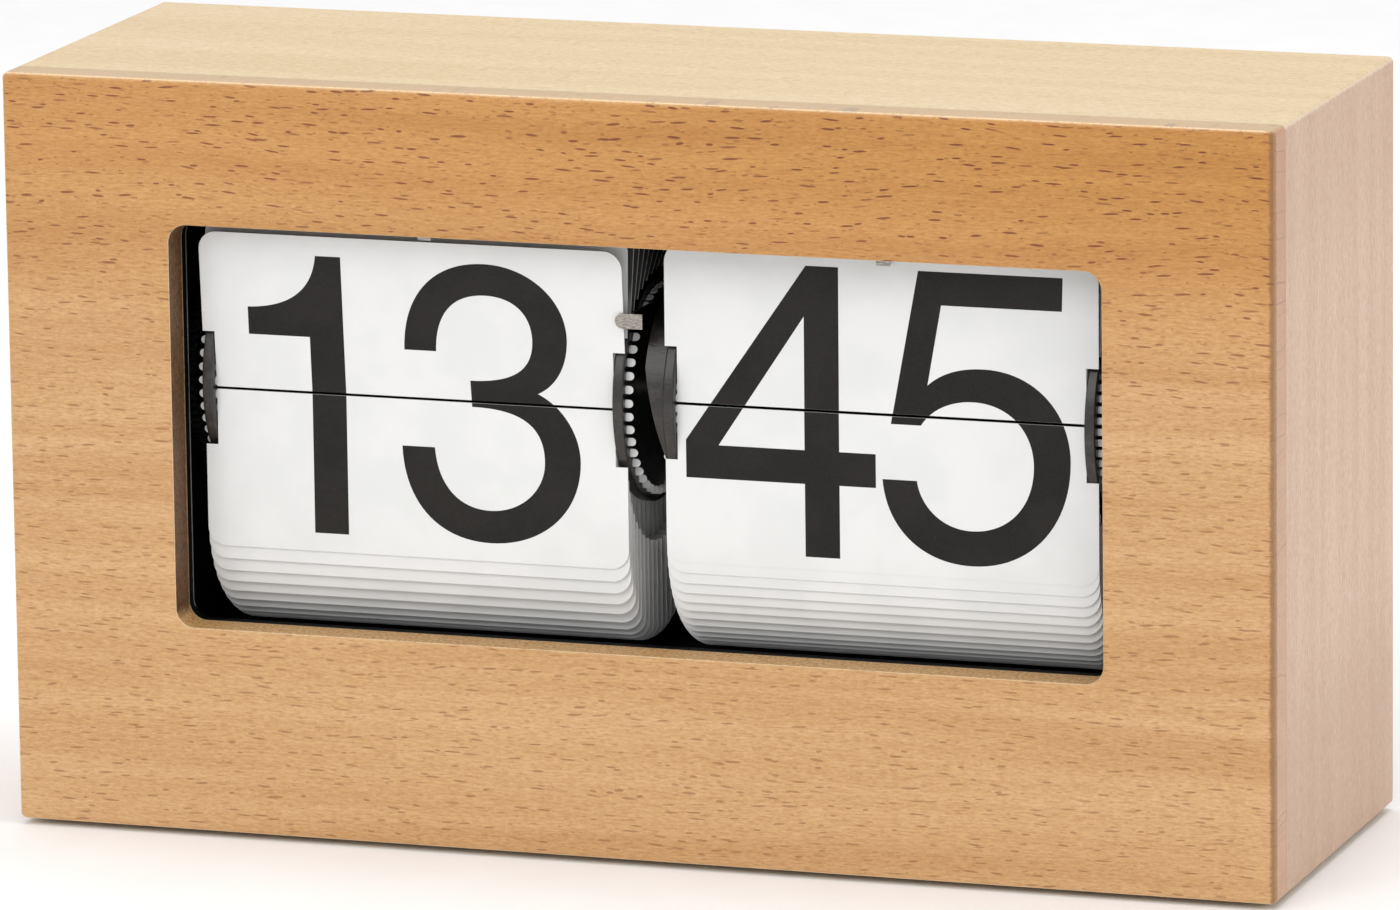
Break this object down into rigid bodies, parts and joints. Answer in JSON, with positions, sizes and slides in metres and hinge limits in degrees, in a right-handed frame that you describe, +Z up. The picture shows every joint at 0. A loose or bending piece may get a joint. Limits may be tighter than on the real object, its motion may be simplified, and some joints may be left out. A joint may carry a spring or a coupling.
{
  "type": "flip clock",
  "caption": "Table clock in a beech veneered box: leaf drums behind an open window drop split number leaves to show hour and minute; battery motor and setting wheel behind.",
  "frame": {"origin": "centre of the underside, on the plane of the foot pads", "axes": "+Z up, -Y out of the display window, +X to the viewer's right"},
  "size_m": [0.21, 0.07, 0.123],
  "materials": {
    "beech_front": "satin lacquer",
    "beech_veneer": "satin lacquer",
    "softwood": "sawn",
    "black_plastic": "matte moulded",
    "drum_plastic": "satin moulded",
    "leaf_plastic": "matte sheet",
    "spring_steel": "bright rolled",
    "gear_plastic": "black acetal",
    "felt": "felt",
    "copper_winding": "enamelled wire",
    "magnet": "sintered",
    "crystal_can": "drawn can",
    "board_green": "solder mask",
    "cell_jacket": "printed sleeve",
    "lead_insulation": "insulated wire"
  },
  "bodies": {
    "root": {"battery_cell": "cell_jacket", "battery_contact": "spring_steel", "battery_leads": "lead_insulation", "battery_spring": "spring_steel", "battery_tray": "black_plastic", "bottom_board": "beech_veneer", "chassis_base": "black_plastic", "chassis_posts": "black_plastic", "chassis_screws": "spring_steel", "circuit_board": "board_green", "corner_blocks": "softwood", "foot_pads": "felt", "front_panel": "beech_front", "hour_finger": "spring_steel", "hour_leaves": "leaf_plastic", "idler_stud": "spring_steel", "left_board": "beech_veneer", "left_end_plate": "black_plastic", "lever_bracket": "spring_steel", "lever_pin": "spring_steel", "lever_spring": "spring_steel", "minute_finger": "spring_steel", "minute_leaves": "leaf_plastic", "motor_coil": "copper_winding", "motor_cover": "gear_plastic", "motor_housing": "gear_plastic", "motor_rotor": "magnet", "motor_stator": "spring_steel", "motor_train_wheel": "gear_plastic", "quartz_crystal": "crystal_can", "rear_bar": "black_plastic", "rear_panel": "black_plastic", "rear_panel_screws": "spring_steel", "right_board": "beech_veneer", "right_end_plate": "black_plastic", "setting_stud": "spring_steel", "top_bar": "black_plastic", "top_board": "beech_veneer", "window_mask": "black_plastic"},
    "hour_drum": {"hour_wheel_left": "drum_plastic", "hour_wheel_right": "drum_plastic", "hour_core": "drum_plastic", "hour_gear": "gear_plastic"},
    "minute_drum": {"drum_axle": "spring_steel", "minute_wheel_left": "drum_plastic", "cam_collar": "drum_plastic", "minute_wheel_right": "drum_plastic", "minute_core": "drum_plastic", "minute_gear": "gear_plastic", "axle_pinion": "gear_plastic"},
    "idler": {"idler_wheel": "gear_plastic", "idler_pinion": "gear_plastic"},
    "setting_wheel": {"setting_gear": "gear_plastic", "setting_thumbwheel": "black_plastic"},
    "motor_output": {"motor_output_shaft": "spring_steel", "motor_output_pinion": "gear_plastic"},
    "release_lever": {"release_lever": "spring_steel"},
    "hour_front_leaf": {"hour_front_leaf": "leaf_plastic"},
    "minute_front_leaf": {"minute_front_leaf": "leaf_plastic"},
    "battery_door": {"battery_door": "black_plastic"}
  },
  "joints": [
    {"name": "minute_drum_turn", "type": "hinge", "parent": "root", "child": "minute_drum", "pos_m": [0, -0.01, 0.07265], "axis": [1, 0, 0], "continuous": true, "deforming": ["minute_leaves", "minute_front_leaf"]},
    {"name": "hour_drum_turn", "type": "hinge", "parent": "root", "child": "hour_drum", "pos_m": [0, -0.01, 0.07265], "axis": [1, 0, 0], "continuous": true, "deforming": ["hour_leaves", "hour_front_leaf"]},
    {"name": "idler_turn", "type": "hinge", "parent": "root", "child": "idler", "pos_m": [0, 0.00188, 0.06077], "axis": [1, 0, 0], "continuous": true},
    {"name": "setting_wheel_turn", "type": "hinge", "parent": "root", "child": "setting_wheel", "pos_m": [0, 0.015, 0.07265], "axis": [1, 0, 0], "continuous": true},
    {"name": "motor_output_turn", "type": "hinge", "parent": "root", "child": "motor_output", "pos_m": [0, -0.01, 0.05465], "axis": [1, 0, 0], "continuous": true},
    {"name": "release_lever_swing", "type": "hinge", "parent": "root", "child": "release_lever", "pos_m": [-0.00195, 0.022, 0.0866], "axis": [0, 0, 1], "range_deg": [0, 1.9], "stiffness_Nm_per_rad": 0.002},
    {"name": "hour_leaf_fall", "type": "hinge", "parent": "root", "child": "hour_front_leaf", "pos_m": [0, -0.0266, 0.07304], "axis": [1, 0, 0], "range_deg": [0, 168]},
    {"name": "minute_leaf_fall", "type": "hinge", "parent": "root", "child": "minute_front_leaf", "pos_m": [0, -0.0265, 0.07444], "axis": [1, 0, 0], "range_deg": [0, 160]},
    {"name": "battery_door_pull", "type": "slide", "parent": "root", "child": "battery_door", "axis": [0, 1, 0], "range_m": [0, 0.03]}
  ],
  "couplings": [
    {"joint": "hour_drum_turn", "follows": "minute_drum_turn", "ratio": 0.041667},
    {"joint": "idler_turn", "follows": "minute_drum_turn", "ratio": -0.16667},
    {"joint": "setting_wheel_turn", "follows": "minute_drum_turn", "ratio": -1.5},
    {"joint": "motor_output_turn", "follows": "minute_drum_turn", "ratio": -5}
  ]
}
